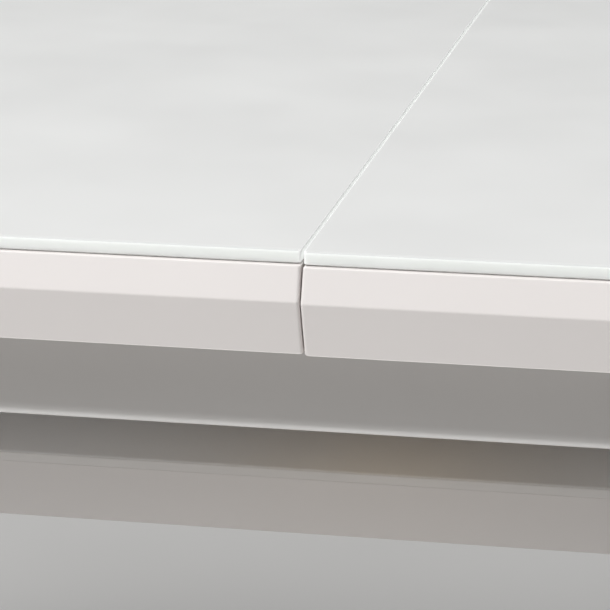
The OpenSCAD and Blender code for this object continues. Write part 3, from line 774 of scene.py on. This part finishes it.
def build_leaf():
    """The insert leaf, made as it is used and then turned into its store."""
    turn = Matrix.Rotation(math.pi / 2, 4, "Z")
    both = (True, True)

    low, high = shape_of("leaf_board")
    used_low = Vector((low.y, -high.x, low.z))
    used_high = Vector((high.y, -low.x, high.z))
    holes = {1: PIN_HOLE, -1: SOCKET_HOLE}
    build_board("leaf_board", "leaf_top_board", used_low, used_high, both, holes, LEAF_ARRISES, turn)

    low, high = shape_of("leaf_glass")
    past = LEAF_GLASS_PAST_SEAMS
    used_low = Vector((low.y - past, -high.x, low.z))
    used_high = Vector((high.y + past, -low.x, high.z))
    looks = ("white_glass", "leaf_glass_edge")
    sheet = build_glass(
        "leaf_glass", "leaf_glass_sheet", used_low, used_high, both, LEAF_GLASS_ARRISES, looks, turn)
    for face in sheet.data.polygons:
        # Upright faces: the darker leaf edge, painted shade.
        if abs(face.normal.z) < UPRIGHT:
            face.material_index = looks.index("leaf_glass_edge")


# ---------------------------------------------------------------- the frame

APRON_RADII = (7 * MM, 3 * MM, 1 * MM, 1 * MM)
LEG_RADIUS = 3 * MM
LEG_EASE = 1.2 * MM
BOLT_FLAT = 9 * MM
RAIL_RADIUS = 2 * MM
SHEET = 2 * MM
SHEET_BEND = 2.5 * MM
LEDGE_WIDTH = 46 * MM
STOP_TAB = 22 * MM
STOP_TAB_RADIUS = 0.9 * MM


def inward_from(corner):
    """The level direction from a place near a corner of the frame to the table's middle."""
    return Vector((-math.copysign(1, corner.x), -math.copysign(1, corner.y), 0)).normalized()


def build_aprons():
    """Four aprons with a generous rounding along the bottom of the outer face."""
    for node in APRONS:
        low, high = shape_of(node)
        along = "x" if node in ("front_apron", "rear_apron") else "y"
        across = 1 if along == "x" else 0
        outer, inner = low[across], high[across]
        if outer > 0:
            outer, inner = inner, outer
        outline = rounded(rectangle(outer, inner, low.z, high.z), APRON_RADII, steps=12)
        mesh = bmesh.new()
        extruded_outline(mesh, outline, along, low[1 - across], high[1 - across])
        finish_piece(mesh, node + "_board", node)


def bolt_flat_cutter(corner, top):
    """A block that takes off a leg's inner corner from the apron's lower edge up, for the hanger bolt."""
    reach = 80 * MM
    inward = inward_from(corner)
    across = Vector((-inward.y, inward.x, 0)) * reach / 2
    start = corner - inward * BOLT_FLAT
    end = start + inward * reach
    outline = [start - across, end - across, end + across, start + across]
    mesh = bmesh.new()
    skin_rings(mesh, [ring_at(outline, corner.z), ring_at(outline, top)])
    return solid_object(mesh, "flat")


def build_legs():
    """Square posts with rounded corners, eased at the foot, with a flat for the hanger bolt."""
    apron_bottom = shape_of("front_apron")[0].z
    for node in LEGS:
        low, high = shape_of(node)
        middle = 0.35 * LEG_EASE
        rings = []
        for inset, height in (
            (LEG_EASE, low.z),
            (middle, low.z + middle),
            (0, low.z + LEG_EASE),
            (0, high.z),
        ):
            rings.append(ring_at(plan(low, high, [inset] * 3, [LEG_RADIUS] * 2, ARC_STEPS), height))
        mesh = bmesh.new()
        skin_rings(mesh, rings)
        post = solid_object(mesh, node + "_blank")
        corner = Vector((
            high.x if low.x < 0 else low.x,
            high.y if low.y < 0 else low.y,
            apron_bottom - 1 * MM,
        ))
        cut(post, [bolt_flat_cutter(corner, high.z + 5 * MM)])
        finish_piece(reopened(post), node + "_post", node)


def build_rails():
    """Three planed cross rails with eased edges."""
    for node in ("cross_rail_left", "cross_rail_centre", "cross_rail_right"):
        low, high = shape_of(node)
        outline = rounded(rectangle(low.x, high.x, low.z, high.z), [RAIL_RADIUS] * 4)
        mesh = bmesh.new()
        extruded_outline(mesh, outline, "y", low.y, high.y)
        finish_piece(mesh, node + "_bar", node)


def build_glides():
    """Turned plastic feet: a domed foot, a waist and a flange."""
    mesh = bmesh.new()
    for places in solids("leg_glides"):
        low, high = corners(places)
        tall = high.z - low.z
        radius = (high.x - low.x) / 2
        foot = radius - 4 * MM
        centre = (low + high) / 2
        profile = [
            (0, 0),
            (foot - 5 * MM, 0),
            (foot - 2 * MM, 0.4 * MM),
            (foot - 0.5 * MM, 1.4 * MM),
            (foot, 2.8 * MM),
            (foot - 0.3 * MM, tall - 2.6 * MM),
            (foot + 0.6 * MM, tall - 2 * MM),
            (radius - 0.6 * MM, tall - 2 * MM),
            (radius, tall - 1.4 * MM),
            (radius, tall - 0.5 * MM),
            (radius - 0.5 * MM, tall),
            (0, tall),
        ]
        lathe(mesh, profile, Matrix.Translation((centre.x, centre.y, low.z)), segments=48)
    finish_piece(mesh, "leg_glide_feet", "leg_glides", angle=40)


def build_hangers():
    """Two folded hangers with real bends, each with a stop tab at the rear."""
    ledge = shape_of("hanger_felts")[0].z - SHEET / 2
    for side, node in ((-1, "leaf_hanger_left"), (1, "leaf_hanger_right")):
        low, high = shape_of(node)
        inner, outer = (low.x, high.x) if side > 0 else (high.x, low.x)
        web = inner + side * (LEDGE_WIDTH + SHEET / 2)
        path = [
            Vector((inner, ledge)),
            Vector((web, ledge)),
            Vector((web, high.z - SHEET / 2)),
            Vector((outer, high.z - SHEET / 2)),
        ]
        mesh = bmesh.new()
        extruded_outline(mesh, folded(path, SHEET, SHEET_BEND), "y", low.y, high.y)
        tab_low = Vector((min(inner, web), high.y - SHEET, ledge - SHEET / 2))
        tab_high = Vector((max(inner, web), high.y, ledge + SHEET / 2 + STOP_TAB))
        rounded_box(mesh, tab_low, tab_high, STOP_TAB_RADIUS)
        finish_piece(mesh, node + "_rail", node, angle=30)


# ---------------------------------------------------------------- fasteners

SCREW_MESHES = {}
BOLT_RADIUS = 4 * MM
BOLT_SHANK = 40 * MM
THREAD_PITCH = 1.25 * MM
THREAD_DEPTH = 0.62 * THREAD_PITCH
WASHER = 1 * MM
WASHER_EASE = 0.3 * MM
WASHER_RADII = (4.4 * MM, 9 * MM)
NUT_RADIUS = 7.5 * MM
NUT_BORE = 3.6 * MM
NUT_CHAMFER = 0.9 * MM
NUT_STEPS = 36


def cross_recess(radius, depth):
    """Two crossed blades that narrow downwards, for the recess in a screw's head."""
    cutters = []
    for angle in (0, math.pi / 2):
        turn = Matrix.Rotation(angle, 3, "Z")
        rings = []
        for share, height in ((0.35, -depth), (1.0, depth)):
            long = radius * (0.3 + 0.7 * share)
            short = radius * 0.16 * (0.5 + 0.5 * share)
            rings.append([turn @ p for p in ring_at(rectangle(-long, long, -short, short), height)])
        mesh = bmesh.new()
        skin_rings(mesh, rings)
        cutters.append(solid_object(mesh, "blade"))
    return cutters


def screw_mesh(head_radius, head_height, shank_radius, length):
    """A cross-recess screw: its head's underside (or its flush top) at the origin, +Z out of the head."""
    key = tuple(round(v, 5) for v in (head_radius, head_height, shank_radius, length))
    if key in SCREW_MESHES:
        return SCREW_MESHES[key]
    if head_height > 0:
        rim = 0.12 * head_height
        profile = [(0, head_height)]
        for t in (0.35, 0.7, 1.0, 1.3, math.pi / 2):
            profile.append((head_radius * math.sin(t), head_height * (0.45 + 0.55 * math.cos(t))))
        profile += [(head_radius, rim), (head_radius - rim, 0), (shank_radius, 0)]
    else:
        rim = 0.1 * MM
        neck = head_radius - shank_radius
        profile = [(0, 0), (head_radius - rim, 0), (head_radius, -rim), (shank_radius, -neck)]
    tip = 2 * shank_radius
    profile += [(shank_radius, -length + tip), (0, -length)]
    mesh = bmesh.new()
    lathe(mesh, profile, Matrix.Identity(4), segments=28)
    screw = solid_object(mesh, "screw")
    blades = cross_recess(0.55 * head_radius, 0.55 * max(head_height, 1.6 * MM))
    for blade in blades:
        blade.location.z = head_height
    bpy.context.view_layer.update()
    cut(screw, blades)
    SCREW_MESHES[key] = screw.data
    bpy.data.objects.remove(screw)
    return SCREW_MESHES[key]


def read_screw(places):
    """Where a plain CAD screw is, which way it points, and its sizes."""
    low, high = corners(places)
    size = high - low
    axis = max(range(3), key=lambda i: size[i])
    centre = (low + high) / 2
    across = [i for i in range(3) if i != axis]
    radial = [math.hypot(*(p[i] - centre[i] for i in across)) for p in places]
    head_radius = max(radial)
    head = [p[axis] for p, r in zip(places, radial) if r > 0.97 * head_radius]
    shank_radius = min(r for r in radial if r > 0.5 * MM)
    side = 1 if sum(head) / len(head) > centre[axis] else -1
    direction = Vector([side if i == axis else 0 for i in range(3)])
    head_height = max(head) - min(head)
    start = centre.copy()
    if head_height > 0.1 * MM:
        start[axis] = min(head) if side > 0 else max(head)
    else:
        start[axis] = head[0]
        head_height = 0.0
    return start, direction, (head_radius, head_height, shank_radius, size[axis] - head_height)


def stamp(mesh, template, place):
    """Adds a copy of a finished mesh at a place."""
    before = len(mesh.verts)
    mesh.from_mesh(template)
    mesh.verts.ensure_lookup_table()
    bmesh.ops.transform(mesh, matrix=place, verts=mesh.verts[before:])


def build_screws():
    """Every screw of the CAD with its real head, each turned a little further than the one before."""
    for node in ("bracket_screws", "mechanism_screws", "hanger_screws", "left_screws", "right_screws"):
        mesh = bmesh.new()
        for i, places in enumerate(solids(node)):
            start, direction, sizes = read_screw(places)
            turn = Matrix.Rotation(0.7 * i, 4, "Z")
            stamp(mesh, screw_mesh(*sizes), place_at(start, direction) @ turn)
        finish_piece(mesh, node + "_set", node, angle=35)


def bolt_line(places):
    """The place and direction of a bolt or nut near a corner of the frame, and its two ends along it."""
    low, high = corners(places)
    centre = (low + high) / 2
    inward = inward_from(centre)
    along = [(p - centre).dot(inward) for p in places]
    return place_at(centre, inward), min(along), max(along)


def build_bolts():
    """Hanger bolts with a cut thread on the inner end."""
    mesh = bmesh.new()
    for places in solids("leg_bolts"):
        place, start, end = bolt_line(places)
        profile = [
            (0, start),
            (BOLT_RADIUS - THREAD_PITCH, start),
            (BOLT_RADIUS, start + THREAD_PITCH),
            (BOLT_RADIUS, start + BOLT_SHANK),
        ]
        height = start + BOLT_SHANK + 1 * MM
        while height < end - 2 * THREAD_PITCH:
            profile.append((BOLT_RADIUS - THREAD_DEPTH, height))
            profile.append((BOLT_RADIUS, height + 0.5 * THREAD_PITCH))
            height += THREAD_PITCH
        profile += [(BOLT_RADIUS - 0.7 * THREAD_PITCH, end), (0, end)]
        lathe(mesh, profile, place, segments=24)
    finish_piece(mesh, "leg_hanger_bolts", "leg_bolts", angle=50)


def add_washer(mesh, place, start, end):
    """A flat washer with eased outer edges."""
    bore, radius = WASHER_RADII
    profile = [
        (bore, start),
        (radius - WASHER_EASE, start),
        (radius, start + WASHER_EASE),
        (radius, end - WASHER_EASE),
        (radius - WASHER_EASE, end),
        (bore, end),
    ]
    skin_loop(mesh, turned_rings(profile, place, segments=40))


def add_nut(mesh, place, start, end):
    """A nut: six flats, chamfered corners at both faces, and a bore."""
    sixth = math.pi / 3
    flat = NUT_RADIUS * math.cos(sixth / 2)
    turns = [math.tau * i / NUT_STEPS for i in range(NUT_STEPS)]
    hexagon = [flat / math.cos(t % sixth - sixth / 2) for t in turns]
    face = [flat] * NUT_STEPS
    bore = [NUT_BORE] * NUT_STEPS
    rings = []
    for reaches, height in (
        (face, start),
        (hexagon, start + NUT_CHAMFER),
        (hexagon, end - NUT_CHAMFER),
        (face, end),
        (bore, end),
        (bore, start),
    ):
        ring = [Vector((r * math.cos(t), r * math.sin(t), height)) for r, t in zip(reaches, turns)]
        rings.append([place @ point for point in ring])
    skin_loop(mesh, rings)


def build_nuts():
    """A chamfered nut with a washer on each hanger bolt."""
    mesh = bmesh.new()
    for places in solids("leg_nuts"):
        place, start, end = bolt_line(places)
        add_washer(mesh, place, start, start + WASHER)
        add_nut(mesh, place, start + WASHER, end)
    finish_piece(mesh, "leg_nut_set", "leg_nuts", angle=30)


# ---------------------------------------------------------------- slides, gears and latches

# Radius of the eased edges, number of steps round them, and the nodes that have them.
EASED_NODES = (
    (0.35 * MM, 2, ("channel_front", "channel_rear")),
    (0.4 * MM, 2, ("channel_end_brackets", "rail_brackets", "corner_brackets")),
    (0.4 * MM, 2, ("latch_plates", "latch_keepers")),
    (0.5 * MM, 2, ("pinion_bracket",)),
    (0.4 * MM, 2, ("pinion_axle", "latch_pivots")),
    (0.25 * MM, 2, ("pinion", "left_rack", "right_rack")),
    (0.5 * MM, 2, ("left_runner_front", "left_runner_rear", "left_sliders")),
    (0.5 * MM, 2, ("right_runner_front", "right_runner_rear", "right_sliders")),
    (1.2 * MM, 3, ("channel_stops",)),
    (0.6 * MM, 3, ("hanger_felts",)),
    (0.4 * MM, 2, ("left_dowels", "leaf_dowels", "right_sockets", "leaf_sockets")),
)
LEVER_EASE = 0.8 * MM
RIB_COUNT = 5
RIB_PITCH = 3.2 * MM
RIB_HEIGHT = 0.8 * MM
FIRST_RIB = 5 * MM


def lever_ribs(node):
    """Grip ribs across the thumb end of a latch lever, a little longer towards the pivot."""
    low, high = shape_of(node)
    is_front = low.y < 0
    direction = 1 if is_front else -1
    tail = high.y if is_front else low.y

    def add(mesh):
        for i in range(RIB_COUNT):
            centre = Vector(((low.x + high.x) / 2, tail - direction * (FIRST_RIB + RIB_PITCH * i), low.z))
            half = (4.6 + 0.3 * i) * MM
            profile = [
                (0, -half),
                (0.55 * MM, -half + 0.3 * MM),
                (RIB_HEIGHT, -half + 1 * MM),
                (RIB_HEIGHT, half - 1 * MM),
                (0.55 * MM, half - 0.3 * MM),
                (0, half),
            ]
            lathe(mesh, profile, place_at(centre, (1, 0, 0)), segments=12)

    return add


def build_mechanism():
    """Nodes that keep their CAD shape, with eased edges, and the latch levers with their ribs."""
    for radius, steps, nodes in EASED_NODES:
        for node in nodes:
            softened(node, radius, steps)
    for node in ("latch_lever_front", "latch_lever_rear"):
        softened(node, LEVER_EASE, 3, lever_ribs(node))


# ---------------------------------------------------------------- stage, light and camera

FLOOR_SIZE = 60.0
FLOOR_COLOR = (0.67, 0.665, 0.655)
FLOOR_OTHER = (0.655, 0.65, 0.64)
WORLD_COLOR = (1.0, 0.995, 0.985, 1.0)
WORLD_STRENGTH = 0.08

# Name, place, target, width and height in metres, and power in watts.
LIGHTS = (
    ("key", (-2.2, -4.0, 7.4), (0, -0.3, 0.4), 4.0, 4.0, 470),
    ("fill", (-1.1, -2.0, 2.2), (0, -0.3, 0.75), 1.6, 1.2, 16),
    ("bounce", (-0.14, -0.31, 0.03), (-0.14, -0.3, 0.7), 0.8, 0.5, 2.6),
    ("back", (0.5, 4.2, 7.7), (0, 0.3, 0.4), 4.0, 4.0, 170),
)

CAMERA_FROM_EDGE = Vector((0.1785, -0.9334, 0.2532))
CAMERA_AZIMUTH = math.radians(10.7)
CAMERA_ELEVATION = math.radians(16.01)
CAMERA_LENS = 157.5
CAMERA_SENSOR = 36.0


def aimed(made, place, target):
    """Puts a light or camera at a place, looking at a target."""
    bpy.context.scene.collection.objects.link(made)
    made.location = place
    made.rotation_euler = (Vector(target) - Vector(place)).to_track_quat("-Z", "Y").to_euler()


def make_floor():
    """A large pale floor, and nothing else round the table."""
    mesh = bmesh.new()
    bmesh.ops.create_grid(mesh, x_segments=2, y_segments=2, size=FLOOR_SIZE)
    floor = loose_object(mesh, "floor")
    s = Shader("studio_floor", FLOOR_COLOR, 0.7)
    s.vary_color(s.noise(1.5, 3), FLOOR_OTHER)
    s.vary_roughness(s.noise(6, 3), 0.6, 0.8)
    floor.data.materials.append(s.material)


def make_light(name, place, target, width, height, power):
    """A rectangular area light."""
    data = bpy.data.lights.new(name, "AREA")
    data.shape = "RECTANGLE"
    data.size = width
    data.size_y = height
    data.energy = power
    aimed(bpy.data.objects.new(name, data), place, target)


def make_world():
    """A weak, even light from everywhere."""
    world = bpy.data.worlds.new("studio")
    bpy.context.scene.world = world
    world.use_nodes = True
    background = world.node_tree.nodes["Background"]
    background.inputs["Color"].default_value = WORLD_COLOR
    background.inputs["Strength"].default_value = WORLD_STRENGTH


def make_camera():
    """Camera at the reference view: low over the front edge, turned a little to the left."""
    board_low, _ = shape_of("left_board")
    _, glass_high = shape_of("left_glass")
    place = Vector((0, board_low.y, glass_high.z)) + CAMERA_FROM_EDGE
    direction = Vector((
        -math.sin(CAMERA_AZIMUTH) * math.cos(CAMERA_ELEVATION),
        math.cos(CAMERA_AZIMUTH) * math.cos(CAMERA_ELEVATION),
        -math.sin(CAMERA_ELEVATION),
    ))
    data = bpy.data.cameras.new("camera")
    data.sensor_width = CAMERA_SENSOR
    data.lens = CAMERA_LENS
    data.clip_start = 0.01
    data.clip_end = 200.0
    camera = bpy.data.objects.new("camera", data)
    aimed(camera, place, place + direction)
    bpy.context.scene.camera = camera


# ---------------------------------------------------------------- building

build_films()
build_top()
build_leaf()
build_aprons()
build_legs()
build_rails()
build_glides()
build_hangers()
build_screws()
build_bolts()
build_nuts()
build_mechanism()
for node, cad in frame["nodes"].items():
    cad.data.materials.clear()
    cad.data.materials.append(material_of(node))

make_floor()
make_world()
for light in LIGHTS:
    make_light(*light)
make_camera()

bpy.context.scene.view_settings.view_transform = "Standard"
